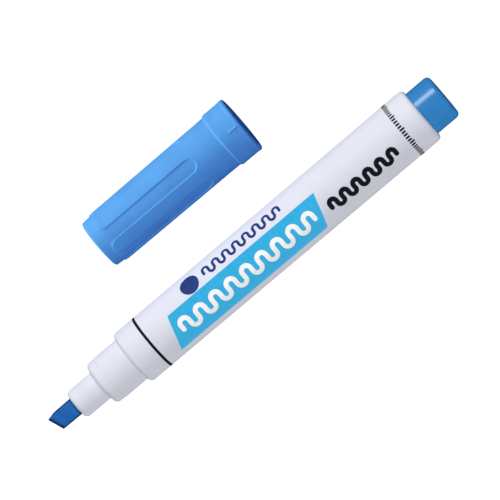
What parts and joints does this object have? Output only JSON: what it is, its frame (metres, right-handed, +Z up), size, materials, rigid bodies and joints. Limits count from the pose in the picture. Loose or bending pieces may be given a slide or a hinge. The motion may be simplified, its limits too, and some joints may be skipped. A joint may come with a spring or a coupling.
{
  "type": "whiteboard marker",
  "caption": "Chisel-tip whiteboard marker with a printed white barrel, coloured end plug and grooved push-on cap lying off beside it.",
  "frame": {"origin": "on the ground, at the middle of the rectangle that the pen and the cap cover together", "axes": "+X along the pen from its tip to its end plug, +Y from the pen to the cap, +Z up"},
  "size_m": [0.1246, 0.0418, 0.0159],
  "materials": {
    "barrel_white": "satin white moulded plastic, printed",
    "front_white": "satin white moulded plastic",
    "nib_blue": "pressed fibre soaked in blue ink",
    "reservoir_fibre": "bonded polyester fibre soaked in blue ink",
    "film_clear": "clear film",
    "plug_blue": "glossy blue moulded plastic",
    "cap_blue": "satin blue moulded plastic",
    "seal_natural": "uncoloured moulded plastic"
  },
  "bodies": {
    "pen": {"barrel": "barrel_white", "front_section": "front_white", "chisel_nib": "nib_blue", "ink_reservoir": "reservoir_fibre", "reservoir_film": "film_clear", "end_plug": "plug_blue"},
    "cap": {"cap_shell": "cap_blue", "cap_inner_seal": "seal_natural"}
  },
  "joints": [
    {"name": "cap_slide", "type": "slide", "parent": "pen", "child": "cap", "axis": [-1, 0, 0], "range_m": [0, 0.0838]}
  ]
}
